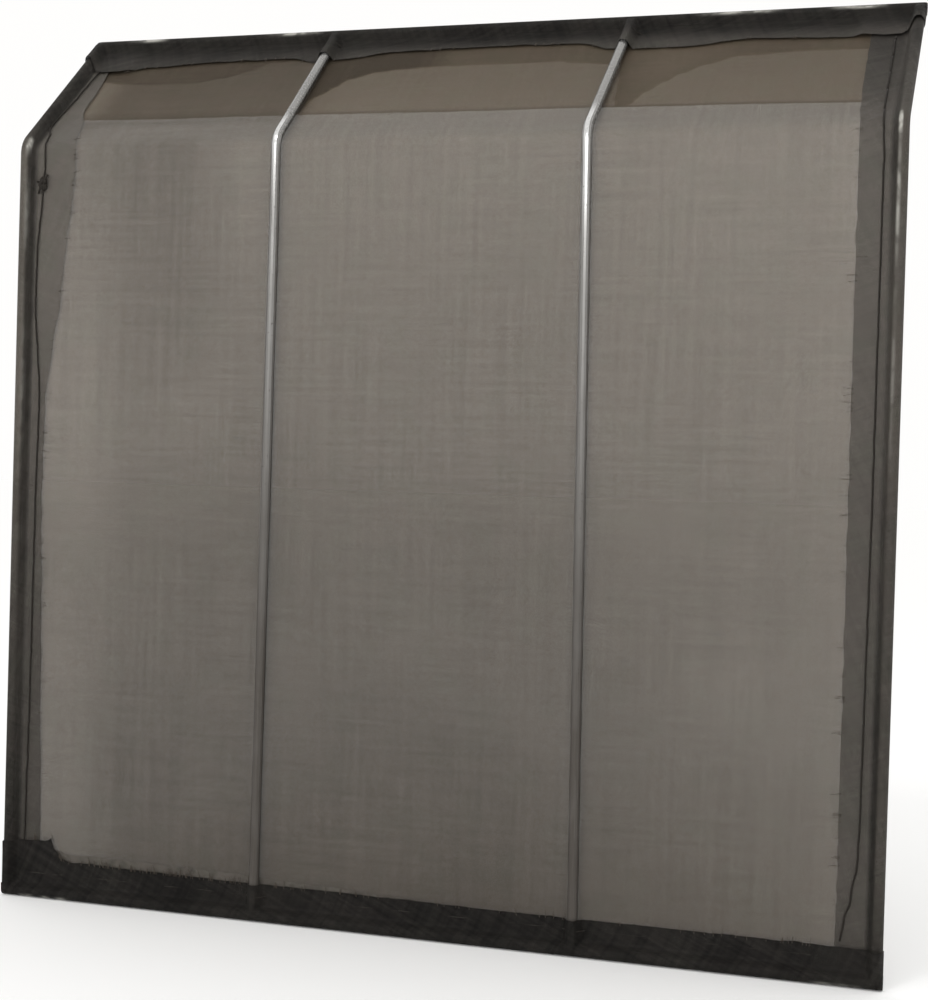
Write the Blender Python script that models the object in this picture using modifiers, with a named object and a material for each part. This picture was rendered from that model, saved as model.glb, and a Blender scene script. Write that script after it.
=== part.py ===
"""Lean-to fireplace screen: a frame of round rod whose top is bent back, two bare bars welded between its
rails, and woven wire cloth turned round the frame in hems and laced down with wire.

Metres, +Z up, front towards -Y. The origin is at the middle of the overall box, at hearth level.
Places on the screen are given by three numbers: across (X), along (the distance up the frame from the
bottom rail's centreline, which follows the bend) and forward (in front of the frame's centre plane)."""

import math

import bmesh
import bpy

# Driving dimensions
ROD_D = 0.009525  # 3/8 in round rod
FRAME_W = 0.835  # between the side rods' centrelines
UPRIGHT = 0.728  # bottom rail's centreline up to the corner of the bend
SLANT = 0.194  # corner of the bend to the top rail's centreline
TILT = math.radians(48.8)  # of the slanted top, back from upright
BEND_R = 0.020  # at the side rods' centreline
LEFT_BAR_X = (-0.1555, -0.1530, -0.1540)  # at the bottom rail, the bend and the top rail
RIGHT_BAR_X = (0.1530, 0.1450, 0.1490)  # the bars are not quite square with the rails
CLOTH_T = 0.0008  # woven wire cloth, as one thickness
SIDE_FLAP = 0.0365  # rod's centreline to the free edge of a hem's front flap
BOTTOM_FLAP = 0.031
TOP_FLAP = 0.045
LINING_DROP = 0.147  # top rail's centreline down to the lining's lower edge
FACING_DROP = 0.065  # the same for the facing, a third layer between the sheet and the lining
LACE_AT = 0.0165  # rod's centreline to the lacing
LACE_D = 0.0012
SOLE = 0.003  # flat strip where a hem passes over the outside of its rod
GAP = 0.0003  # between pieces that touch

# Derived sizes
ROD_R = ROD_D / 2
WRAP_R = ROD_R + GAP  # inside of the cloth round a rod
FLAP = -ROD_R  # inner face of a flap that lies on the sheet
TANGENT = BEND_R * math.tan(TILT / 2)
BEND_START = UPRIGHT - TANGENT
BEND_END = BEND_START + BEND_R * TILT
TOP = BEND_END + SLANT - TANGENT  # along, at the top rail's centreline
# Where the rods that a rail's flap crosses meet it
AT_BOTTOM = (-FRAME_W / 2, LEFT_BAR_X[0], RIGHT_BAR_X[0], FRAME_W / 2)
AT_TOP = (-FRAME_W / 2, LEFT_BAR_X[2], RIGHT_BAR_X[2], FRAME_W / 2)

# The overall box, which sets the origin: bottom hem in front, top hem at the back
FRONT = SOLE + WRAP_R + CLOTH_T
BACK = BEND_R * (1 - math.cos(TILT)) + (SLANT - TANGENT) * math.sin(TILT) + WRAP_R + CLOTH_T
FRAME_Y = (FRONT - BACK) / 2
FRAME_Z = WRAP_R + CLOTH_T

# How finely shapes are divided
ROD_RESOLUTION = 5
LACE_RESOLUTION = 2
BEND_STEPS = 6
QUARTER_STEPS = 4
RISE_STEPS = 5
SLOPE_STEPS = 7
SLOPE_W = 0.025  # width of the slope from a flap over a bar or side rod down to the sheet

STEEL = ("bare_steel", (0.42, 0.41, 0.39), 0.32, 1.0)
DARK_STEEL = ("dark_steel", (0.07, 0.065, 0.06), 0.45, 1.0)
CLOTH = ("wire_cloth", (0.10, 0.092, 0.084), 0.6, 0.6)
HEM_CLOTH = ("hem_cloth", (0.045, 0.042, 0.038), 0.6, 0.6)
LACING = ("lacing_wire", (0.02, 0.019, 0.018), 0.5, 0.8)


def material(name, colour, roughness, metallic):
    made = bpy.data.materials.get(name) or bpy.data.materials.new(name)
    made.use_nodes = True
    shader = made.node_tree.nodes["Principled BSDF"]
    shader.inputs["Base Color"].default_value = (*colour, 1.0)
    shader.inputs["Roughness"].default_value = roughness
    shader.inputs["Metallic"].default_value = metallic
    return made


def bent(along, forward):
    """Y and Z, in the frame's plane, of a point on the bent line of the frame."""
    if along < BEND_START:
        return -forward, along
    turn = min((along - BEND_START) / BEND_R, TILT)
    rest = max(along - BEND_END, 0.0)
    y = BEND_R - (BEND_R + forward) * math.cos(turn) + rest * math.sin(TILT)
    z = BEND_START + (BEND_R + forward) * math.sin(turn) + rest * math.cos(TILT)
    return y, z


def stations(start, end):
    """Places along the frame between two ends, with the bend's arc where they include it."""
    arc = [BEND_START + (BEND_END - BEND_START) * i / BEND_STEPS for i in range(BEND_STEPS + 1)]
    return [start] + [s for s in arc if start < s < end] + [end]


def place(obj, collection, origin, finish):
    collection.objects.link(obj)
    obj.parent = origin
    obj.data.materials.append(material(*finish))
    return obj


def rod(name, points, diameter, resolution, finish, collection, origin):
    """A round rod or wire through these points."""
    curve = bpy.data.curves.new(name, "CURVE")
    curve.dimensions = "3D"
    curve.bevel_depth = diameter / 2
    curve.bevel_resolution = resolution
    curve.use_fill_caps = True
    spline = curve.splines.new("POLY")
    spline.points.add(len(points) - 1)
    for control, point in zip(spline.points, points):
        control.co = (*point, 1.0)
    return place(bpy.data.objects.new(name, curve), collection, origin, finish)


def cloth(name, rows, finish, collection, origin):
    """A shell of cloth: rows of points on its inner face, thickened away from what it wraps."""
    mesh = bpy.data.meshes.new(name)
    sheet = bmesh.new()
    grid = [[sheet.verts.new(point) for point in row] for row in rows]
    for row, following in zip(grid, grid[1:]):
        for i in range(len(row) - 1):
            sheet.faces.new((row[i], row[i + 1], following[i + 1], following[i]))
    sheet.normal_update()
    sheet.to_mesh(mesh)
    sheet.free()
    obj = place(bpy.data.objects.new(name, mesh), collection, origin, finish)
    shell = obj.modifiers.new("thickness", "SOLIDIFY")
    shell.thickness = CLOTH_T
    shell.offset = 1.0
    shell.use_even_offset = True
    return obj


def smooth(t):
    t = min(max(t, 0.0), 1.0)
    return t * t * (3 - 2 * t)


def near(across, centre):
    """1 over a rod at this place across, falling smoothly to 0 beyond its slope."""
    beyond = abs(across - centre) - ROD_R - GAP
    return 1 - smooth(beyond / SLOPE_W)


def flap_level(over_rod):
    """How far forward a flap's inner face is: on the sheet, or over a rod that it crosses."""
    return FLAP + over_rod * (WRAP_R - FLAP)


def hem_section(flap, over_rod=0.0):
    """A hem from the back of its rod, round the outside and down its front flap, as (inward, forward)
    pairs on the cloth's inner face."""
    level = flap_level(over_rod)
    front_of_rod = SOLE + WRAP_R
    turns = [math.pi / 2 * i / QUARTER_STEPS for i in range(QUARTER_STEPS + 1)]
    under = [(-WRAP_R * math.sin(t), -WRAP_R * math.cos(t)) for t in turns]
    front = [(-WRAP_R * math.cos(t), SOLE + WRAP_R * math.sin(t)) for t in turns]
    rise = [
        (LACE_AT * i / RISE_STEPS, front_of_rod + (level - front_of_rod) * smooth(i / RISE_STEPS))
        for i in range(1, RISE_STEPS + 1)
    ]
    return under + front + rise + [(flap, level)]


def hem_places(crossed):
    """Places across a rail's hem: close together on the slopes, where the flap rises over a rod."""
    end = FRAME_W / 2 + ROD_R
    slope = [SLOPE_W * i / SLOPE_STEPS for i in range(SLOPE_STEPS + 1)]
    found = [-end, end]
    for centre in crossed:
        for side in (-1, 1):
            found += [centre + side * (WRAP_R + step) for step in slope]
    return sorted(x for x in found if abs(x) <= end)


def over_rods(across, crossed):
    return max(near(across, centre) for centre in crossed)


def rail_hem(name, flap, along_at, crossed, collection, origin):
    """A hem round the bottom or top rail; along_at turns a distance inward from it into one along."""
    rows = [
        [(x, *bent(along_at(inward), forward)) for inward, forward in hem_section(flap, over_rods(x, crossed))]
        for x in hem_places(crossed)
    ]
    if along_at(flap) > along_at(0):
        rows.reverse()
    return cloth(name, rows, HEM_CLOTH, collection, origin)


def side_hem(name, side, collection, origin):
    section = hem_section(SIDE_FLAP)
    rows = [
        [(side * (FRAME_W / 2 - inward), *bent(along, forward)) for inward, forward in section]
        for along in stations(BOTTOM_FLAP + GAP, TOP - TOP_FLAP - GAP)
    ]
    if side > 0:
        rows.reverse()
    return cloth(name, rows, HEM_CLOTH, collection, origin)


def sheet_rows(forward, low, high, half_w):
    return [[(x, *bent(along, forward)) for x in (half_w, -half_w)] for along in stations(low, high)]


def rail_lacing(name, along_at, crossed, collection, origin):
    """Wire laid over the middle of a rail's flap, at a constant distance from it."""
    lift = CLOTH_T + GAP + LACE_D / 2
    places = [x for x in hem_places(crossed) if abs(x) <= FRAME_W / 2 - LACE_AT]
    level = [flap_level(over_rods(x, crossed)) for x in places]
    points = []
    for i in range(len(places)):
        a, b = max(i - 1, 0), min(i + 1, len(places) - 1)
        run, climb = places[b] - places[a], level[b] - level[a]
        length = math.hypot(run, climb)
        across = places[i] - lift * climb / length
        points.append((across, *bent(along_at(LACE_AT), level[i] + lift * run / length)))
    return rod(name, points, LACE_D, LACE_RESOLUTION, LACING, collection, origin)


def bar_line(foot, bend, head):
    """A bar's centreline, straight from its foot to the bend and from the bend to its head."""
    points = []
    for s in stations(WRAP_R, TOP - WRAP_R):
        below, above = min(s / BEND_START, 1.0), max((s - BEND_END) / (TOP - BEND_END), 0.0)
        points.append((foot + (bend - foot) * below + (head - bend) * above, *bent(s, 0)))
    return points


def build():
    for obj in list(bpy.data.objects):
        bpy.data.objects.remove(obj, do_unlink=True)
    collection = bpy.data.collections.new("fireplace_screen")
    bpy.context.scene.collection.children.link(collection)
    origin = bpy.data.objects.new("screen_origin", None)
    origin.location = (0, FRAME_Y, FRAME_Z)
    collection.objects.link(origin)
    where = (collection, origin)

    rail_end = FRAME_W / 2 + ROD_R
    for name, along in (("bottom_rail", 0.0), ("top_rail", TOP)):
        ends = [(x, *bent(along, 0)) for x in (-rail_end, rail_end)]
        rod(name, ends, ROD_D, ROD_RESOLUTION, DARK_STEEL, *where)
    for name, x in (("left_side_rod", -FRAME_W / 2), ("right_side_rod", FRAME_W / 2)):
        line = [(x, *bent(s, 0)) for s in stations(WRAP_R, TOP - WRAP_R)]
        rod(name, line, ROD_D, ROD_RESOLUTION, DARK_STEEL, *where)
    for name, places in (("left_bar", LEFT_BAR_X), ("right_bar", RIGHT_BAR_X)):
        rod(name, bar_line(*places), ROD_D, ROD_RESOLUTION, STEEL, *where)

    half_w = FRAME_W / 2 - GAP
    cloth("screen_cloth", sheet_rows(-WRAP_R, GAP, TOP - GAP, half_w), CLOTH, *where)
    layers = (("top_facing", FACING_DROP), ("top_lining", LINING_DROP))
    for depth, (name, drop) in enumerate(layers, start=1):
        behind = -WRAP_R - depth * (CLOTH_T + GAP)
        cloth(name, sheet_rows(behind, TOP - drop, TOP - GAP, half_w), CLOTH, *where)

    def up(inward):
        return inward

    def down(inward):
        return TOP - inward

    rail_hem("bottom_hem", BOTTOM_FLAP, up, AT_BOTTOM, *where)
    rail_hem("top_hem", TOP_FLAP, down, AT_TOP, *where)
    side_hem("left_hem", -1, *where)
    side_hem("right_hem", 1, *where)
    rail_lacing("bottom_lacing", up, AT_BOTTOM, *where)
    rail_lacing("top_lacing", down, AT_TOP, *where)
    clear = FLAP + CLOTH_T + GAP + LACE_D / 2
    for name, side in (("left_lacing", -1), ("right_lacing", 1)):
        x = side * (FRAME_W / 2 - LACE_AT)
        line = [(x, *bent(s, clear)) for s in stations(BOTTOM_FLAP + LACE_D, TOP - TOP_FLAP - LACE_D)]
        rod(name, line, LACE_D, LACE_RESOLUTION, LACING, *where)


build()
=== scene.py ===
"""Looks of the fireplace screen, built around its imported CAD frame: woven wire cloth in layers, hems with
uneven hand-cut flaps, lacing wire, tarnished steel rods, a pale floor and soft studio light.

Metres, +Z up, front towards -Y. Places on the screen are across (X), along (up the frame from the bottom
rail's centreline, round the bend) and forward (in front of the frame's centre plane)."""

import math
import random

import bmesh
import bpy
from mathutils import Matrix, Vector, noise


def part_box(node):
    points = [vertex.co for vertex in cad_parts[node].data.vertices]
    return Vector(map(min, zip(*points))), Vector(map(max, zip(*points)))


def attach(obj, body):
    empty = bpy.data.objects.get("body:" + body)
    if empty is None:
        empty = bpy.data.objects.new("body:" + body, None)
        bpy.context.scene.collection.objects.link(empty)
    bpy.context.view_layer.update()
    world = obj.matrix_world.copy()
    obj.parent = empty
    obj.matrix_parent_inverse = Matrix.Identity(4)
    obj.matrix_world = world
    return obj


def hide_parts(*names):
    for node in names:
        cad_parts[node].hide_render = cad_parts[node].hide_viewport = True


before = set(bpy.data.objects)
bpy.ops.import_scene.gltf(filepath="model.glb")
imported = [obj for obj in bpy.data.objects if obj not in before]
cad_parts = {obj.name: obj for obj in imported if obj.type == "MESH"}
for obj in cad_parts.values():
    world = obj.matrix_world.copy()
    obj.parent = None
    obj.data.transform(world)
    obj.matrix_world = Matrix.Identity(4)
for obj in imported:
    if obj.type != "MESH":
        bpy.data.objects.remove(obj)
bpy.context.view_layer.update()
ROW = "root"

# The frame's own sizes, as in the CAD
UPRIGHT = 0.728
SLANT = 0.194
TILT = math.radians(48.8)
BEND_R = 0.020
TANGENT = BEND_R * math.tan(TILT / 2)
BEND_START = UPRIGHT - TANGENT
BEND_END = BEND_START + BEND_R * TILT
TOP = BEND_END + SLANT - TANGENT


def middle(node):
    lo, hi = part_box(node)
    return (Vector(lo) + Vector(hi)) / 2


rail = middle("bottom_rail")
rail_lo, rail_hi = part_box("bottom_rail")
ROD_R = (rail_hi[1] - rail_lo[1]) / 2
HALF_W = middle("right_side_rod").x  # from the middle of the screen to a side rod's centreline
WRAP = ROD_R + 0.0005  # from a rod's centreline to the cloth's middle where it wraps the rod
LAYER = 0.0010  # from one layer of cloth to the next
RING = 0.012  # a bar's corners within this height of a place are the ring round it


def bar_line(node):
    """Where a bar's centreline is across: at its foot, at the bend and at its head."""
    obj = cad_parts[node]
    corners = [obj.matrix_world @ corner.co for corner in obj.data.vertices]
    lo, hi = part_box(node)
    places = []
    for height in (lo[2], rail.z + UPRIGHT, hi[2]):
        level = [corner.x for corner in corners if abs(corner.z - height) < RING]
        places.append((min(level) + max(level)) / 2)
    return places


LEFT_BAR, RIGHT_BAR = bar_line("left_bar"), bar_line("right_bar")


def rods_at(along):
    """Places across of the four upright rods at this place along them."""
    below, above = min(along / BEND_START, 1.0), max((along - BEND_END) / (TOP - BEND_END), 0.0)
    places = [-HALF_W, HALF_W]
    for foot, bend, head in (LEFT_BAR, RIGHT_BAR):
        places.append(foot + (bend - foot) * below + (head - bend) * above)
    return places


def bent(across, along, forward=0.0):
    """The point in the row's frame at this place on the screen."""
    if along < BEND_START:
        y, z = -forward, along
    else:
        turn = min((along - BEND_START) / BEND_R, TILT)
        rest = max(along - BEND_END, 0.0)
        y = BEND_R - (BEND_R + forward) * math.cos(turn) + rest * math.sin(TILT)
        z = BEND_START + (BEND_R + forward) * math.sin(turn) + rest * math.cos(TILT)
    return Vector((across, rail.y + y, rail.z + z))


def smooth(t):
    t = min(max(t, 0.0), 1.0)
    return t * t * (3 - 2 * t)


def through(points, x):
    """A smooth line through (x, value) pairs in order of x, read at x and level beyond its ends."""
    if x <= points[0][0]:
        return points[0][1]
    for (a, low), (b, high) in zip(points, points[1:]):
        if x <= b:
            return low + (high - low) * smooth((x - a) / (b - a))
    return points[-1][1]


def wander(a, b, size, seed=0.0):
    """Smooth noise from -1 to 1 at a place, with lumps of this size."""
    return noise.noise(Vector((a / size, b / size, seed)))


# ---------------------------------------------------------------- materials


class Nodes:
    """Short names for building a material's nodes."""

    def __init__(self, name):
        self.material = bpy.data.materials.new(name)
        self.material.use_nodes = True
        self.tree = self.material.node_tree
        self.shader = self.tree.nodes["Principled BSDF"]

    def join(self, value, socket):
        if isinstance(value, bpy.types.NodeSocket):
            self.tree.links.new(value, socket)
        else:
            socket.default_value = value

    def node(self, kind, values=(), **settings):
        made = self.tree.nodes.new(kind)
        for key, value in settings.items():
            setattr(made, key, value)
        for key, value in dict(values).items():
            self.join(value, made.inputs[key])
        return made

    def math(self, operation, a, b=0.0, c=0.0, clamp=False):
        made = self.node("ShaderNodeMath", {0: a, 1: b, 2: c}, operation=operation, use_clamp=clamp)
        return made.outputs[0]

    def range(self, value, low, high, to_low=0.0, to_high=1.0, kind="SMOOTHSTEP"):
        values = {"Value": value, "From Min": low, "From Max": high, "To Min": to_low, "To Max": to_high}
        return self.node("ShaderNodeMapRange", values, interpolation_type=kind).outputs["Result"]

    def mix(self, share, a, b, blend="MIX"):
        values = {"Factor": share, "A": a, "B": b}
        made = self.node("ShaderNodeMix", (), data_type="RGBA", blend_type=blend)
        for key, value in values.items():
            socket = next(s for s in made.inputs if s.name == key and s.enabled)
            self.join(value, socket)
        return next(s for s in made.outputs if s.enabled)

    def place(self, scale=(1, 1, 1)):
        where = self.node("ShaderNodeTexCoord").outputs["Object"]
        return self.node("ShaderNodeMapping", {"Vector": where, "Scale": scale}).outputs["Vector"]

    def noise(self, where, scale, detail=3.0, rough=0.55):
        values = {"Vector": where, "Scale": scale, "Detail": detail, "Roughness": rough}
        return self.node("ShaderNodeTexNoise", values).outputs["Fac"]

    def attribute(self, name):
        return self.node("ShaderNodeAttribute", attribute_name=name).outputs["Fac"]

    def bump(self, height, strength, distance):
        values = {"Height": height, "Strength": strength, "Distance": distance}
        self.join(self.node("ShaderNodeBump", values).outputs["Normal"], self.shader.inputs["Normal"])

    def set(self, **values):
        for key, value in values.items():
            self.join(value, self.shader.inputs[key.replace("_", " ")])


def grey(value, warm=1.0):
    """A linear colour of this brightness, brownish by warm."""
    return (value * (1 + 0.20 * warm), value, value * (1 - 0.20 * warm), 1.0)


WIRE_SHARE = 0.60  # how much of the weave's pitch is wire


def wire_cloth(name, palest, darkest, open_palest, open_darkest, pitch, turn=0.0, warm=1.0):
    """Plain-woven wire, its weave turned by an angle. Its soot_and_shade attribute, 0 to 1, darkens it and
    closes its squares, for soot and for painted shade and light; its painted_glint one paints a pale
    highlight where a rod glints through."""
    m = Nodes(name)
    half_wire = WIRE_SHARE / 2
    uv = m.node("ShaderNodeUVMap", uv_map="weave").outputs["UV"]
    uv = m.node("ShaderNodeMapping", {"Vector": uv, "Rotation": (0, 0, turn)}).outputs["Vector"]
    split = m.node("ShaderNodeSeparateXYZ", {"Vector": uv})
    warp, weft = (
        m.math("PINGPONG", m.math("MULTIPLY", split.outputs[axis], 1 / pitch), 0.5) for axis in ("X", "Y")
    )
    hole = m.range(m.math("MINIMUM", warp, weft), half_wire - 0.03, half_wire + 0.03)
    ridge = m.math("MAXIMUM", m.range(warp, half_wire, 0.0), m.range(weft, half_wire, 0.0))

    def streaks(scale, detail):
        stretched = m.node("ShaderNodeMapping", {"Vector": uv, "Scale": scale}).outputs["Vector"]
        return m.noise(stretched, 1.0, detail)

    marks = m.math("ADD", streaks((200, 5, 1), 2.0), streaks((9, 260, 1), 2.0))
    patches = m.noise(m.place(), 9.0, 3.0)
    # soot_and_shade: soot, and painted shade where it is set high on hems and layers; marks and patches add
    # grime
    soot_and_shade = m.math("ADD", m.attribute("soot_and_shade"), m.math("MULTIPLY_ADD", marks, 0.22, -0.22), clamp=True)
    soot_and_shade = m.math("ADD", soot_and_shade, m.math("MULTIPLY_ADD", patches, 0.14, -0.07), clamp=True)
    colour = m.mix(soot_and_shade, grey(palest, warm), grey(darkest, warm))
    greenish = m.range(m.noise(m.place(), 38.0, 2.0), 0.42, 0.66)
    tinted = m.mix(greenish, colour, (0.97, 1.01, 0.98, 1.0), "MULTIPLY")
    dashes = m.math("MULTIPLY", m.range(streaks((45, 330, 1), 1.0), 0.68, 0.76), 0.22)
    tinted = m.mix(dashes, tinted, (0.01, 0.01, 0.01, 1.0))
    # Painted highlight: pale where painted_glint marks a rod glinting through the cloth, broken up by streaky
    # patches
    streaky_patches = m.range(m.noise(m.place((0.4, 1, 0.4)), 130.0, 2.0), 0.38, 0.58, 0.25, 1.0)
    with_glint = m.mix(m.math("MULTIPLY", m.attribute("painted_glint"), streaky_patches), tinted, (0.46, 0.45, 0.41, 1.0))
    # Painted shade: each wire is darker towards its edges, as on a round wire
    shaded = m.mix(m.range(ridge, 0.0, 0.8, 0.25, 0.0), with_glint, (0.0, 0.0, 0.0, 1.0))
    m.set(Base_Color=shaded, Metallic=0.35, Specular_IOR_Level=0.25)
    m.set(Roughness=m.range(soot_and_shade, 0.0, 1.0, 0.48, 0.80, "LINEAR"))
    openness = m.range(soot_and_shade, 0.0, 1.0, open_palest, open_darkest, "LINEAR")
    m.set(Alpha=m.math("SUBTRACT", 1.0, m.math("MULTIPLY", hole, openness)))
    m.bump(ridge, 0.25, pitch / 4)
    return m.material


def steel_bar(name):
    """Polished bar: darker further down in blotches, with painted shade on its back and a painted highlight
    down its front just below the bend, with drawn streaks and small dark specks."""
    m = Nodes(name)
    place = m.node("ShaderNodeSeparateXYZ", {"Vector": m.place()})
    height = place.outputs["Z"]
    streaks = m.noise(m.place((1, 1, 0.03)), 900.0, 3.0)
    blotches = m.noise(m.place((1, 1, 0.35)), 55.0, 4.0)
    specks = m.range(m.noise(m.place(), 420.0, 2.0), 0.66, 0.74)
    uneven = m.math("MULTIPLY_ADD", blotches, 0.4, -0.20)
    # darker further down the bar, in blotches
    darker_down = m.math("ADD", m.range(height, 0.80, 0.16), uneven, clamp=True)
    colour = m.mix(darker_down, (0.31, 0.305, 0.295, 1.0), (0.070, 0.062, 0.054, 1.0))
    colour = m.mix(m.math("MULTIPLY", m.range(streaks, 0.40, 0.72), 0.35), colour, (0.12, 0.11, 0.10, 1.0))
    normal = m.node("ShaderNodeSeparateXYZ", {"Vector": m.node("ShaderNodeTexCoord").outputs["Normal"]})
    # Painted highlight: a pale stripe down the front of each bar just below its bend
    glint_left, glint_right = m.range(height, 0.660, 0.745), m.range(height, 0.618, 0.695)
    on_the_right = m.range(place.outputs["X"], -0.01, 0.01)
    further_down = m.math("SUBTRACT", glint_right, glint_left)
    painted_glint = m.math("ADD", glint_left, m.math("MULTIPLY", on_the_right, further_down))
    below_the_top = m.range(height, 0.765, 0.748)
    most_at_the_bend = m.range(height, 0.705, 0.742, 0.62, 1.0)
    along_the_front = m.range(m.math("ABSOLUTE", normal.outputs["X"]), 0.50, 0.08)
    less_in_streaks = m.range(streaks, 0.62, 0.40, 0.75, 1.0)
    for share in (below_the_top, most_at_the_bend, along_the_front, less_in_streaks):
        painted_glint = m.math("MULTIPLY", painted_glint, share)
    colour = m.mix(painted_glint, colour, (0.80, 0.80, 0.79, 1.0))
    colour = m.mix(m.math("MULTIPLY", specks, 0.7), colour, (0.05, 0.042, 0.035, 1.0))
    # Painted shade: the bar is darker on its side towards the cloth
    painted_dark_side = m.range(normal.outputs["Y"], -0.25, 0.12)
    colour = m.mix(m.math("MULTIPLY", painted_dark_side, 0.65), colour, (0.045, 0.040, 0.035, 1.0))
    m.set(Base_Color=colour, Metallic=m.range(darker_down, 0.3, 1.0, 0.75, 0.35), Specular_IOR_Level=0.3)
    m.set(Roughness=m.math("ADD", m.range(darker_down, 0.0, 1.0, 0.20, 0.50), m.math("MULTIPLY", streaks, 0.12)))
    m.bump(m.math("ADD", streaks, m.math("MULTIPLY", specks, -1.5)), 0.15, 0.0002)
    return m.material


def frame_rod(name):
    """Mill-finish rod inside the hems: dark scale with bare, shiny rubs."""
    m = Nodes(name)
    streaky_patches = m.range(m.noise(m.place((0.35, 1, 0.35)), 42.0, 4.0), 0.46, 0.60)
    grain = m.noise(m.place(), 260.0, 4.0)
    colour = m.mix(streaky_patches, (0.055, 0.050, 0.045, 1.0), (0.70, 0.69, 0.67, 1.0))
    rust = m.math("MULTIPLY", m.range(grain, 0.56, 0.70), 0.5)
    m.set(Base_Color=m.mix(rust, colour, (0.10, 0.055, 0.03, 1.0)), Metallic=0.9)
    m.set(Roughness=m.range(grain, 0.2, 0.8, 0.25, 0.55))
    m.bump(grain, 0.2, 0.0003)
    return m.material


def thin_wire(name, dark, light):
    m = Nodes(name)
    grain = m.noise(m.place(), 700.0, 3.0)
    m.set(Base_Color=m.mix(grain, grey(dark), grey(light)), Metallic=0.2, Specular_IOR_Level=0.2)
    m.set(Roughness=m.range(grain, 0.2, 0.8, 0.4, 0.7))
    m.bump(grain, 0.3, 0.0001)
    return m.material


CLOTH = wire_cloth("wire_cloth", 0.100, 0.040, 1.0, 0.36, 0.00069, warm=1.6)
LINING = wire_cloth("lining_cloth", 0.130, 0.030, 0.80, 0.36, 0.00057, -0.36, 0.2)
HEM = wire_cloth("hem_cloth", 0.115, 0.0045, 0.90, 0.04, 0.00058, 0.42, 0.7)
BAR = steel_bar("bare_steel")
ROD = frame_rod("dark_steel")
LACING = thin_wire("lacing_wire", 0.006, 0.028)
FRAYED = thin_wire("frayed_wire", 0.03, 0.10)

# ---------------------------------------------------------------- cloth


def surface(name, rows, material, node):
    """A sheet of cloth from rows of (across, along, forward, soot_and_shade, u, v, painted_glint); u and v
    place the weave.
    """
    mesh = bpy.data.meshes.new(name)
    shape = bmesh.new()
    weave = shape.loops.layers.uv.new("weave")
    soot_and_shade, painted_glint = (shape.verts.layers.float.new(layer) for layer in ("soot_and_shade", "painted_glint"))
    grid, flat = [], {}
    for row in rows:
        line = []
        for across, along, forward, value, u, v, glint in row:
            vert = shape.verts.new(bent(across, along, forward))
            vert[soot_and_shade] = value
            vert[painted_glint] = glint
            flat[vert] = (u, v)
            line.append(vert)
        grid.append(line)
    for row, following in zip(grid, grid[1:]):
        for i in range(len(row) - 1):
            face = shape.faces.new((row[i], row[i + 1], following[i + 1], following[i]))
            face.smooth = True
            for loop in face.loops:
                loop[weave].uv = flat[loop.vert]
    bmesh.ops.recalc_face_normals(shape, faces=shape.faces)
    shape.to_mesh(mesh)
    shape.free()
    obj = bpy.data.objects.new(name, mesh)
    bpy.context.scene.collection.objects.link(obj)
    mesh.materials.append(material)
    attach(obj, ROW)
    if node:
        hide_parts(node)
    return obj


def steps(a, b, size):
    count = max(1, round(abs(b - a) / size))
    return [a + (b - a) * i / count for i in range(count + 1)]


def up_the_frame(low, high, size=0.007):
    """Places along between two ends, closer together round the bend."""
    arc = [BEND_START + (BEND_END - BEND_START) * i / 8 for i in range(9)]
    below = [s for s in steps(low, BEND_START, size) if s < BEND_START - 1e-6] if low < BEND_START else []
    inside = [s for s in arc if low <= s <= high]
    above = [s for s in steps(max(low, BEND_END), high, size) if s > BEND_END + 1e-6 or low > BEND_END]
    return below + inside + above


def upright_darkness(across, along):
    """How dark the main sheet is below the bend: darker towards the bottom and in the top of the left bay,
    paler towards the right, with a band of painted light along the fold by the left flap.
    """
    base = through([(0.0, 0.95), (0.12, 0.88), (0.30, 0.68), (0.50, 0.36), (0.70, 0.13), (0.93, 0.13)], along)
    pale_side = 0.35 * smooth((across - 0.05) / 0.35) * (1 - along / TOP)
    # painted light: a paler band along the fold by the left flap
    painted_light_fold = 0.32 * (1 - smooth((across + 0.365) / 0.075))
    left_top = 0.48 * smooth((-0.17 - across) / 0.10) * smooth((along - 0.45) / 0.27)
    pale_edge = 0.10 * smooth((across - 0.34) / 0.05)
    return base + 0.05 * wander(across, along, 0.12) - pale_side - painted_light_fold - pale_edge + left_top


def ripple(across, along):
    """Slack in the cloth between the rods."""
    slack = min(abs(across - rod) for rod in rods_at(along)) / 0.15
    slow = wander(across, along * 0.35, 0.06, 3.0)
    fine = wander(across, along * 0.12, 0.014, 5.0)
    tight = 1 - 0.6 * smooth((along - BEND_START) / 0.03)
    return (-0.0010 * min(slack, 1.0) * (1 + slow) - 0.00025 * fine) * tight


LINING_EDGE = [(-0.42, 0.137), (-0.31, 0.140), (-0.148, 0.142), (0.052, 0.145), (0.237, 0.148), (0.42, 0.153)]
FACING_EDGE = [
    (-0.420, 0.058), (-0.361, 0.071), (-0.335, 0.073), (-0.290, 0.074), (-0.258, 0.066), (-0.231, 0.054),
    (-0.215, 0.040), (-0.190, 0.037), (-0.152, 0.040), (-0.1495, 0.146), (-0.145, 0.113), (-0.137, 0.107),
    (-0.129, 0.095), (-0.117, 0.079), (-0.091, 0.067), (-0.069, 0.063), (-0.020, 0.059), (0.031, 0.060),
    (0.090, 0.060), (0.106, 0.065), (0.150, 0.070), (0.160, 0.149), (0.172, 0.146), (0.184, 0.123),
    (0.198, 0.106), (0.212, 0.091), (0.231, 0.077), (0.261, 0.063), (0.315, 0.059), (0.420, 0.061),
]
FACING_TONE = [
    (-0.40, 0.78), (-0.15, 0.90), (-0.07, 1.10), (-0.01, 0.56), (0.14, 0.56), (0.20, 0.38), (0.28, 0.60),
    (0.40, 0.52),
]


def painted_light_left(across):
    """How far a place is towards the slanted top's left end, where the layers are set paler as painted light.
    """
    return 1 - smooth((across + 0.392) / 0.045)


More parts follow.
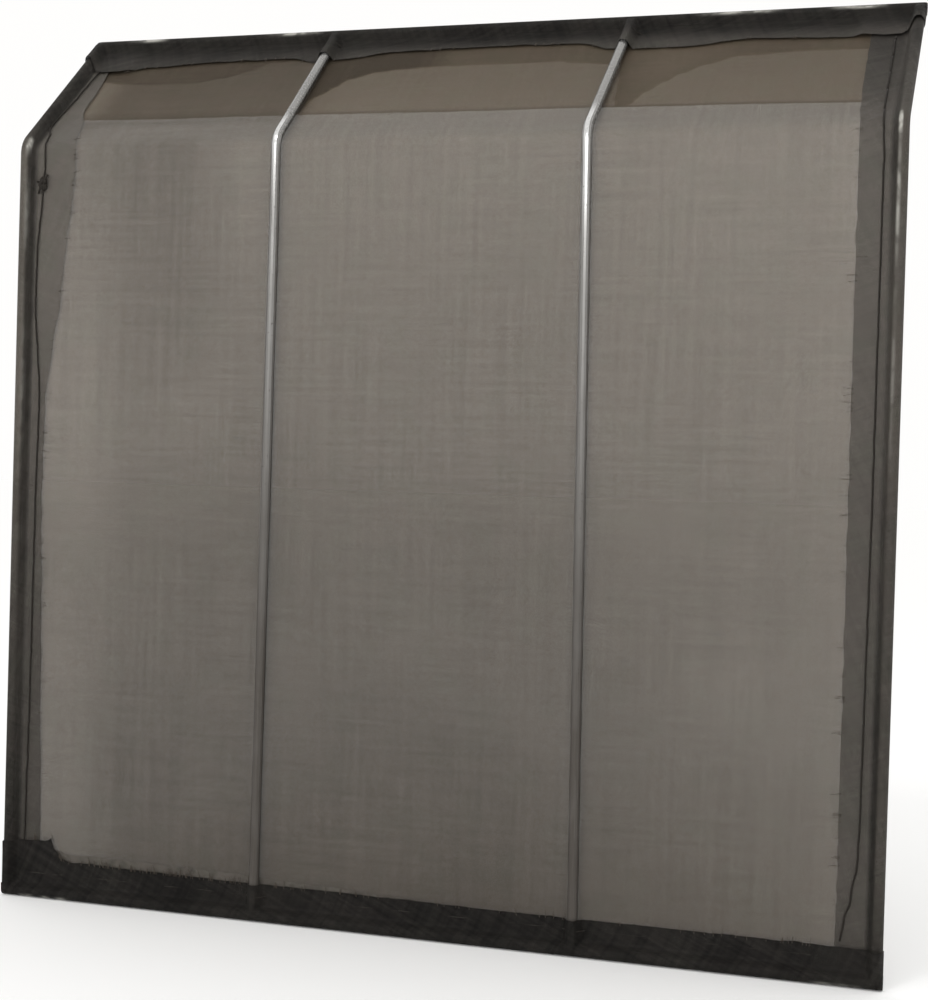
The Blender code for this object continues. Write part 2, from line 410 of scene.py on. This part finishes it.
def sheet_soot_and_shade(across, along):
    """How dark the main sheet is: by upright_darkness() below the bend; above it, painted shade on the
    slanted top and painted light where the lining lies behind it, set by FACING_TONE in front of the facing,
    and darker along the facing's cut edge.
    """
    upright = 0.33 + 0.67 * upright_darkness(across, along)
    depth = TOP - along
    left = smooth((-0.13 - across) / 0.05)
    # painted shade: the slanted top is set darker, more towards its left
    slanted = 0.55 + left * (0.10 + 0.20 * smooth((0.165 - depth) / 0.02))
    tone = upright + (slanted - upright) * smooth((along - BEND_START) / 0.03)
    edge = through(LINING_EDGE, across)
    # painted light: the sheet is set paler where the lining lies behind it, palest at the left end
    lined = 0.40 - 0.28 * depth / edge + 0.42 * left - 0.55 * painted_light_left(across)
    fade = 0.003 + 0.012 * left
    tone += (lined - tone) * (1 - smooth((depth - edge + fade) / (2 * fade)))
    beyond = depth - through(FACING_EDGE, across)
    tone += (through(FACING_TONE, across) - tone) * (1 - smooth((beyond + 0.002) / 0.004))
    return tone + 0.22 * (1 - smooth(abs(beyond) / 0.003)) * smooth(0.5 + wander(across, 0.0, 0.04, 9.0))


xs = steps(-HALF_W, HALF_W, 0.004)
rows = [
    [(x, s, -WRAP + ripple(x, s), sheet_soot_and_shade(x, s), x, s, 0.0) for x in xs]
    for s in up_the_frame(0.0, BEND_END, 0.007) + steps(BEND_END, TOP, 0.003)[1:]
]
surface("screen_cloth_weave", rows, CLOTH, "screen_cloth")


def layer(name, depth, edge, soot_and_shade, material, node, rag):
    """A layer behind the sheet on the slanted top, from the top rail down to a cut edge."""
    across = steps(-HALF_W, HALF_W, 0.003)
    made = []
    for k in range(17):
        row = []
        for x in across:
            low = TOP - through(edge, x) + rag * wander(x, 0.0, 0.004, depth)
            s = TOP + (low - TOP) * k / 16
            row.append((x, s, -WRAP - depth * LAYER + ripple(x, s), soot_and_shade(x, s), x, s, 0.0))
        made.append(row)
    flat_size = (2 * HALF_W, max(drop for at, drop in edge) + 0.002)
    return surface(name, made, material, node)


# Painted shade: the lining is set darker towards its left and the facing dark all over, as they lie in the
# sheet's shade; both are paler at the very left end as painted light
def lining_soot_and_shade(x, s):
    return 0.10 + 0.30 * (1 - smooth((x + 0.40) / 0.25)) - 0.5 * painted_light_left(x) + 0.1 * wander(x, s, 0.05, 7.0)


def facing_soot_and_shade(x, s):
    return 0.90 - 0.5 * painted_light_left(x) + 0.1 * wander(x, s, 0.05, 8.0)


layer("top_facing_weave", 1, FACING_EDGE, facing_soot_and_shade, HEM, "top_facing", 0.0012)
layer("top_lining_weave", 2, LINING_EDGE, lining_soot_and_shade, LINING, "top_lining", 0.0004)

# ---------------------------------------------------------------- hems


def near(across, centre):
    return 1 - smooth((abs(across - centre) - 0.002) / 0.0075)


def over_rods(across, along):
    return max(near(across, centre) for centre in rods_at(along))


FLAP_LEVEL = -ROD_R + 0.0006  # forward of the frame's plane, where a flap lies on the sheet
GROOVE = 0.0085  # inward from a rod's centreline, where its hem meets the sheet
RAIL_GLINT = 0.0034  # how far the painted highlight line on a rail's hem reaches to either side
SIDE_GLINT = 0.0024
SIDE_HEM_END = 0.016  # from a rail's centreline to the end of a side's hem


def hem_section(flap, over_rod, pucker):
    """(inward, forward) pairs: from behind the rod, tight round it, into the groove beside it and down the
    front flap, which lies on the sheet or over a rod that it crosses."""
    level = FLAP_LEVEL + over_rod * (WRAP + ROD_R) + pucker
    start, end = -math.pi, math.radians(72) * (1 - over_rod)
    turns = [start + (end - start) * i / 20 for i in range(21)]
    wrap = [(WRAP * math.sin(t), WRAP * math.cos(t)) for t in turns]
    side, front = wrap[-1]
    drop = [(side + (GROOVE - side) * i / 3, front + (level - front) * smooth(i / 3)) for i in (1, 2, 3)]
    rest = [(GROOVE + (flap - GROOVE) * i / 9, level + 0.0006 * (i / 9) ** 3) for i in range(1, 10)]
    return [(0.006, -WRAP - 0.0003)] + wrap + drop + rest


TOP_FLAP = [
    (-0.418, 0.034), (-0.402, 0.051), (-0.386, 0.051), (-0.344, 0.042), (-0.268, 0.036), (-0.192, 0.036),
    (-0.165, 0.045), (-0.145, 0.043), (-0.077, 0.031), (0.025, 0.029), (0.100, 0.031), (0.140, 0.044),
    (0.155, 0.046), (0.204, 0.046), (0.267, 0.036), (0.358, 0.041), (0.402, 0.043), (0.418, 0.028),
]
BOTTOM_FLAP = [
    (-0.418, 0.047), (-0.404, 0.049), (-0.378, 0.050), (-0.3705, 0.0535), (-0.3690, 0.043), (-0.360, 0.033),
    (-0.350, 0.031), (-0.266, 0.0300), (-0.192, 0.0290), (-0.110, 0.0290), (-0.011, 0.0285), (0.085, 0.0275),
    (0.418, 0.0275),
]
TORN_EDGE = [
    (-0.372, 0.041), (-0.350, 0.0385), (-0.266, 0.0375), (-0.192, 0.0365), (-0.110, 0.0335), (0.010, 0.0290),
]
LEFT_FLAP = [
    (0.030, 0.032), (0.089, 0.0315), (0.187, 0.0285), (0.284, 0.027), (0.382, 0.0245), (0.480, 0.0255),
    (0.528, 0.0315), (0.577, 0.0395), (0.626, 0.0435), (0.674, 0.050), (0.713, 0.0525), (0.760, 0.044),
    (0.800, 0.031), (0.920, 0.024),
]
RIGHT_FLAP = [(0.0, 0.0355), (0.72, 0.0365), (0.80, 0.040), (0.92, 0.041)]


def runs(section):
    """Each point of a section with how far along the cloth it is."""
    run = 0.0
    for i, point in enumerate(section):
        run += math.dist(point, section[i - 1]) if i else 0.0
        yield point[0], point[1], run


def ragged(line, at, seed):
    return through(line, at) + 0.0008 * wander(at, 0.0, 0.003, seed) + 0.0010 * wander(at, 0.0, 0.02, seed)


def glint_along(spots, at, off_line, forward, wide):
    """How much painted highlight a hem has at a place, a rod's glint through the cloth: along a line on its
    rod's front, and only at these spots.
    """
    on_the_line = (1 - smooth(abs(off_line) / wide)) * smooth((forward + 0.002) / 0.002)
    return on_the_line * max(size * (1 - smooth(abs(at - spot) / reach)) for spot, reach, size in spots)


CURL = WRAP + 0.0006  # how far a rail hem's closed ends stand out from a side rod's centreline
OVER_FLAP = 0.0020  # how much further forward a rail's flap lies where it covers a side's flap


def lapped(across):
    """How far a rail's flap lies forward here, to cover the side's flap at each of its ends."""
    return OVER_FLAP * smooth((abs(across) - HALF_W + 0.056) / 0.008)


def rail_hem(name, along_at, flap_line, soot_and_shade_at, spots, line, node, seed):
    """A hem round the top or bottom rail, closed round the side rods at its two ends."""
    edge = []
    for t in (math.pi * i / 24 for i in range(1, 25)):
        share = math.copysign(abs(math.cos(t)) ** 0.15, math.cos(t))
        edge.append((HALF_W + CURL * math.sin(t), share, HALF_W + CURL * t))
    spaced = set(steps(-HALF_W, HALF_W, 0.0035))
    for rod in rods_at(along_at(0)):
        spaced |= {x for x in steps(rod - 0.012, rod + 0.012, 0.001) if abs(x) < HALF_W}
    across = [(-x, share, -u) for x, share, u in reversed(edge)]
    across += [(x, 1.0, x) for x in sorted({round(x, 4) for x in spaced})] + edge
    made = []
    for x, share, u in across:
        pucker = 0.0007 * wander(x, 0.0, 0.018, seed + 4) + lapped(x)
        row = []
        for a, f, run in runs(hem_section(ragged(flap_line, x, seed), over_rods(x, along_at(0)), pucker)):
            painted_glint = glint_along(spots, x, a - line, f, RAIL_GLINT)
            row.append((x, along_at(a), f * share, soot_and_shade_at(x, a), 1.012 * u, run, painted_glint))
        made.append(row)
    return surface(name, made, HEM, node)


def side_hem(name, side, flap_line, soot_and_shade_at, spots, line, creased, node, seed):
    """A hem round a side rod, with diagonal creases of this height at the bend."""
    made = []
    for s in up_the_frame(SIDE_HEM_END, TOP - SIDE_HEM_END, 0.0045):
        row = []
        creases = creased * smooth((0.045 - abs(s - 0.735)) / 0.02)
        pucker = 0.0006 * wander(s, 0.0, 0.02, seed + 4)
        for a, f, run in runs(hem_section(ragged(flap_line, s, seed), 0.0, pucker)):
            f += creases * math.sin(2 * math.pi * (s + 0.9 * a) / 0.016) * smooth((a - 0.012) / 0.006)
            painted_glint = glint_along(spots, s, a - line, f, SIDE_GLINT)
            row.append((side * (HALF_W - a), s, f, soot_and_shade_at(s, a), run, 1.015 * s, painted_glint))
        made.append(row)
    return surface(name, made, HEM, node)


def up(inward):
    return inward


def down(inward):
    return TOP - inward


# The rail hems are set dark: soot, and painted shade in their rolled layers; the top flap is paler towards
# its edge and to the right
def top_soot_and_shade(x, inward):
    paler = 0.12 + 0.16 * smooth((x + 0.16) / 0.05)
    return 0.90 + 0.05 * wander(x, inward, 0.03, 11.0) - paler * smooth((inward - 0.014) / 0.026)


def bottom_soot_and_shade(x, inward):
    return 0.925 + 0.04 * wander(x, inward, 0.03, 12.0) - 0.04 * x


def banded(outer, groove, flap, seed):
    """How dark a side hem is by place along it: on its rod, where paler tones are painted sheen of the rod
    through the cloth; in the groove inside the rod, where darker tones are painted shade; and on the flap.
    """

    def soot_and_shade_at(s, inward):
        into, onto = smooth((inward - 0.002) / 0.003), smooth((inward - 0.0080) / 0.0025)
        tone = through(outer, s) + (through(groove, s) - through(outer, s)) * into
        return tone + (through(flap, s) - tone) * onto + 0.05 * wander(s, inward, 0.02, seed)

    return soot_and_shade_at


left_soot_and_shade = banded(
    [
        (0.0, 0.92), (0.10, 0.82), (0.22, 0.66), (0.36, 0.46), (0.50, 0.12), (0.60, 0.30), (0.71, 0.08),
        (0.745, 0.70), (0.77, 0.82),
    ],
    [(0.0, 0.90), (0.10, 0.80), (0.22, 0.68), (0.36, 0.70), (0.60, 0.74), (0.71, 0.70), (0.77, 0.84)],
    [
        (0.0, 0.62), (0.10, 0.55), (0.22, 0.53), (0.36, 0.40), (0.50, 0.26), (0.62, 0.12), (0.80, 0.12),
        (0.88, 0.34),
    ],
    13.0,
)
right_soot_and_shade = banded(
    [
        (0.0, 0.85), (0.10, 0.55), (0.22, 0.58), (0.36, 0.52), (0.50, 0.40), (0.62, 0.40), (0.71, 0.38),
        (0.80, 0.55), (0.88, 0.80),
    ],
    [
        (0.0, 0.85), (0.10, 0.82), (0.22, 0.78), (0.36, 0.60), (0.50, 0.48), (0.62, 0.48), (0.70, 0.66),
        (0.80, 0.60),
    ],
    [
        (0.0, 0.52), (0.10, 0.47), (0.22, 0.47), (0.36, 0.42), (0.50, 0.38), (0.62, 0.30), (0.73, 0.32),
        (0.80, 0.58), (0.88, 0.74),
    ],
    14.0,
)

# Painted highlights, where a rod glints through its hem: (middle, reach, size) of each spot
TOP_GLINTS = [(-0.362, 0.026, 1.5), (-0.198, 0.034, 1.4), (0.254, 0.050, 1.4), (0.362, 0.030, 2.0)]
BOTTOM_GLINTS = [(-0.396, 0.010, 0.7), (-0.374, 0.006, 0.8), (-0.358, 0.009, 0.7), (0.384, 0.026, 0.8)]
LEFT_GLINTS = [(0.726, 0.011, 2.6), (0.66, 0.06, 0.3), (0.50, 0.10, 0.2)]
RIGHT_GLINTS = [(0.724, 0.012, 3.0), (0.66, 0.07, 0.9), (0.52, 0.12, 0.3)]
rail_hem("bottom_hem_weave", up, BOTTOM_FLAP, bottom_soot_and_shade, BOTTOM_GLINTS, -0.0045, "bottom_hem", 21.0)
rail_hem("top_hem_weave", down, TOP_FLAP, top_soot_and_shade, TOP_GLINTS, 0.0004, "top_hem", 22.0)
side_hem("left_hem_weave", -1, LEFT_FLAP, left_soot_and_shade, LEFT_GLINTS, 0.0036, 0.0, "left_hem", 23.0)
side_hem("right_hem_weave", 1, RIGHT_FLAP, right_soot_and_shade, RIGHT_GLINTS, 0.0020, 0.0008, "right_hem", 24.0)

# ---------------------------------------------------------------- lacing and frayed wires

FLAT = FLAP_LEVEL + 0.0006  # just forward of a flap that lies on the sheet
LACING_SIDES = 6
SIDE_LACE_R = 0.0008
RAIL_LACE_R = 0.0005
RAIL_LACE_END = 0.016  # from a side rod's centreline to the end of a rail's lacing
KNOT_R = 0.0012
FRAY_R = 0.00028
ASKEW = Vector((0.31, -0.83, 0.47))  # a way that no wire runs, to lay out the rings round a wire from
random.seed(5)


def wires(name, lines, radius, sides, material, node=None):
    """Round wires, each through a line of points in the row's frame, as one mesh with closed ends."""
    mesh = bpy.data.meshes.new(name)
    shape = bmesh.new()
    for line in lines:
        rings = []
        for i, point in enumerate(line):
            ahead = (line[min(i + 1, len(line) - 1)] - line[max(i - 1, 0)]).normalized()
            sideways = ahead.cross(ASKEW).normalized()
            other = ahead.cross(sideways)
            turns = [2 * math.pi * k / sides for k in range(sides)]
            ring = [point + radius * (math.cos(t) * sideways + math.sin(t) * other) for t in turns]
            rings.append([shape.verts.new(p) for p in ring])
        for a, b in zip(rings, rings[1:]):
            for k in range(sides):
                shape.faces.new((a[k - 1], a[k], b[k], b[k - 1])).smooth = True
        shape.faces.new(reversed(rings[0]))
        shape.faces.new(rings[-1])
    bmesh.ops.recalc_face_normals(shape, faces=shape.faces)
    shape.to_mesh(mesh)
    shape.free()
    obj = bpy.data.objects.new(name, mesh)
    bpy.context.scene.collection.objects.link(obj)
    mesh.materials.append(material)
    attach(obj, ROW)
    if node:
        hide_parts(node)
    return obj


def stitches(place, start, end, length, level, rise):
    """A running stitch: long on the front, then a short dip through the cloth."""
    shape = ((0.0, -0.0010), (0.03, 0.0004), (0.2, rise), (0.5, rise), (0.8, rise), (0.97, 0.0004))
    line = []
    at = start
    while at < end:
        reach = length * (0.8 + 0.4 * random.random())
        for share, lift in shape:
            here = min(at + reach * share, end)
            line.append(place(here, level(here) + lift))
        at += reach
    return line


LEFT_LACE = [
    (0.030, -0.4030), (0.089, -0.4022), (0.187, -0.4010), (0.284, -0.4005), (0.382, -0.4000),
    (0.480, -0.3985), (0.577, -0.4050), (0.625, -0.4045), (0.675, -0.4005), (0.689, -0.3990),
    (0.713, -0.3980), (0.745, -0.4020), (0.765, -0.4090), (0.830, -0.4045), (0.880, -0.4020),
]
RIGHT_LACE = [
    (0.030, 0.3860), (0.050, 0.3890), (0.068, 0.3940), (0.102, 0.3990), (0.154, 0.4000), (0.430, 0.4015),
    (0.694, 0.4020), (0.760, 0.3995), (0.880, 0.3990),
]


def side_lace(name, route, node, seed):
    def place(s, forward):
        return bent(through(route, s) + 0.0006 * wander(s, 0.0, 0.015, seed), s, forward)

    line = stitches(place, 0.032, TOP - 0.046, 0.030, lambda s: FLAT, 0.0009)
    return wires(name, [line], SIDE_LACE_R, LACING_SIDES, LACING, node)


def rail_lace(name, along_at, node, seed):
    def place(x, forward):
        return bent(x, along_at(0.0175 + 0.0005 * wander(x, 0.0, 0.02, seed)), forward)

    def level(x):
        return FLAT - 0.0014 + over_rods(x, along_at(0)) * (WRAP + ROD_R) + lapped(x)

    reach = HALF_W - RAIL_LACE_END
    line = stitches(place, -reach, reach, 0.022, level, 0.0004)
    return wires(name, [line], RAIL_LACE_R, LACING_SIDES, LACING, node)


side_lace("left_lacing_wire", LEFT_LACE, "left_lacing", 31.0)
side_lace("right_lacing_wire", RIGHT_LACE, "right_lacing", 32.0)
rail_lace("top_lacing_wire", down, "top_lacing", 33.0)
rail_lace("bottom_lacing_wire", up, "bottom_lacing", 34.0)

KNOT = (-0.3990, 0.690)
KNOT_LOOPS = ((0.0034, 0.0055, 0.3, 0.0018), (0.0026, 0.0040, -0.5, 0.0030), (0.0020, 0.0062, 0.1, 0.0024))
KNOT_ENDS = ((0.0045, 0.0085), (-0.0052, -0.0095), (-0.0065, 0.0020))
loops = []
for wide, tall, tilt, lift in KNOT_LOOPS:
    turns = [2 * math.pi * k / 14 for k in range(15)]
    loops.append([
        bent(
            KNOT[0] + wide * math.cos(t + tilt) + 0.0006 * math.sin(3 * t),
            KNOT[1] + tall * math.sin(t),
            FLAT + lift + 0.0008 * math.cos(2 * t + tilt),
        )
        for t in turns
    ])
for dx, dz in KNOT_ENDS:
    loops.append([
        bent(KNOT[0] + dx * k / 4, KNOT[1] + dz * k / 4, FLAT + 0.0022 + 0.0010 * math.sin(k))
        for k in range(5)
    ])
wires("lacing_knot", loops, KNOT_R, LACING_SIDES, LACING)


def frays(flap_line, place, start, end, count, seed):
    """Loose wire ends that stand out of a flap's cut edge."""
    made = []
    for k in range(count):
        at = start + (end - start) * random.random()
        reach = 0.002 + 0.006 * random.random() ** 2
        lean = random.uniform(-0.4, 0.4)
        lift = random.uniform(0, 0.4)
        root = ragged(flap_line, at, seed) - 0.002
        made.append([
            place(at + lean * reach * t, root + (reach + 0.002) * t, FLAT + 0.0006 + lift * reach * t * t)
            for t in (0.0, 0.4, 0.7, 1.0)
        ])
    return made


def from_bottom(x, inward, forward):
    return bent(x, inward, forward)


def from_left(s, inward, forward):
    return bent(-HALF_W + inward, s, forward)


def from_right(s, inward, forward):
    return bent(HALF_W - inward, s, forward)


def from_top(x, inward, forward):
    return bent(x, TOP - inward, forward)


loose = frays(BOTTOM_FLAP, from_bottom, -0.40, -0.16, 90, 21.0)
loose += frays(BOTTOM_FLAP, from_bottom, -0.16, 0.37, 50, 21.0)
loose += frays(LEFT_FLAP, from_left, 0.10, 0.74, 70, 23.0)
loose += frays(RIGHT_FLAP, from_right, 0.06, 0.74, 40, 24.0)
loose += frays(TOP_FLAP, from_top, -0.37, 0.37, 60, 22.0)
for s, near_edge, far_edge in ((0.613, 0.036, 0.027), (0.607, 0.050, 0.044)):
    loose.append([
        from_right(s + 0.001 * math.sin(9 * t), near_edge + (far_edge - near_edge) * t, FLAT)
        for t in (0, 0.35, 0.7, 1)
    ])
wires("frayed_ends", loose, FRAY_R, 4, FRAYED)

# The bottom hem's inner turn shows above its flap as a pale, torn strip
torn = []
for x in steps(-0.372, 0.010, 0.0014):
    low = through(BOTTOM_FLAP, max(x, -0.356)) - 0.005
    high = through(TORN_EDGE, x) + 0.0016 * wander(x, 0.0, 0.009, 41.0) + 0.0008 * wander(x, 0.0, 0.003, 42.0)
    row = []
    for i in range(6):
        a = low + (max(high, low + 0.001) - low) * i / 5
        soot_and_shade = 0.16 + 0.45 * abs(wander(x, a, 0.012, 43.0))
        row.append((x, a, FLAT - 0.0008, soot_and_shade, x, 1.04 * a + 0.05 * x, 0.0))
    torn.append(row)
surface("bottom_torn_edge", torn, HEM, None)

# ---------------------------------------------------------------- rods


def dress(node, material):
    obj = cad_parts[node]
    for i in range(len(obj.material_slots)):
        obj.material_slots[i].material = material


for node in ("top_rail", "bottom_rail", "left_side_rod", "right_side_rod"):
    dress(node, ROD)
for node in ("left_bar", "right_bar"):
    dress(node, BAR)

# ---------------------------------------------------------------- camera, floor and light

FOCAL_PX = 1844.2279
PHOTO_HIGH = 1000  # the photo's height in pixels, its longer side
SENSOR = 36  # in millimetres, along the longer side
YAW, PITCH, ROLL = 0.31, 0.0161, 0.0288
CAMERA_FROM_RAIL = Vector((0.5483, -1.5848, 0.4229))
across = Vector((math.cos(YAW), math.sin(YAW), 0))
ahead = Vector((-math.sin(YAW), math.cos(YAW), 0))
upward = Vector((0, 0, 1))
look = ahead * math.cos(PITCH) - upward * math.sin(PITCH)
raised = upward * math.cos(PITCH) + ahead * math.sin(PITCH)
right = across * math.cos(ROLL) + raised * math.sin(ROLL)
top = raised * math.cos(ROLL) - across * math.sin(ROLL)
camera = bpy.data.objects.new("camera", bpy.data.cameras.new("camera"))
camera.data.lens = FOCAL_PX * SENSOR / PHOTO_HIGH
camera.data.clip_start = 0.05
camera.data.clip_end = 100
spin = Matrix((right, top, -look)).transposed()
camera.matrix_world = Matrix.Translation(rail + CAMERA_FROM_RAIL) @ spin.to_4x4()
bpy.context.scene.collection.objects.link(camera)
bpy.context.scene.camera = camera

floor_mesh = bpy.data.meshes.new("floor")
shape = bmesh.new()
bmesh.ops.create_grid(shape, x_segments=1, y_segments=1, size=30)
shape.to_mesh(floor_mesh)
shape.free()
floor = bpy.data.objects.new("floor", floor_mesh)
bpy.context.scene.collection.objects.link(floor)
floor_paint = Nodes("floor_paint")
floor_paint.set(Base_Color=(0.998, 0.998, 0.995, 1.0), Roughness=0.9, Specular_IOR_Level=0.0)
floor_mesh.materials.append(floor_paint.material)

world = bpy.data.worlds.new("studio")
bpy.context.scene.world = world
world.use_nodes = True
world.node_tree.nodes["Background"].inputs["Color"].default_value = (1.0, 0.995, 0.985, 1.0)
world.node_tree.nodes["Background"].inputs["Strength"].default_value = 1.0


def softbox(name, place, aim, size, power):
    data = bpy.data.lights.new(name, "AREA")
    data.shape = "RECTANGLE"
    data.size, data.size_y = size
    data.energy = power
    lamp = bpy.data.objects.new(name, data)
    lamp.location = place
    lamp.rotation_mode = "QUATERNION"
    lamp.rotation_quaternion = (Vector(aim) - Vector(place)).to_track_quat("-Z", "Y")
    bpy.context.scene.collection.objects.link(lamp)


softbox("key", (-0.4, -1.9, 2.7), (0, 0, 0.7), (0.5, 0.35), 12)
softbox("fill", (0.6, -3.2, 1.45), (0.2, 0, 0.5), (1.6, 0.6), 16)
bpy.context.scene.view_settings.view_transform = "Standard"
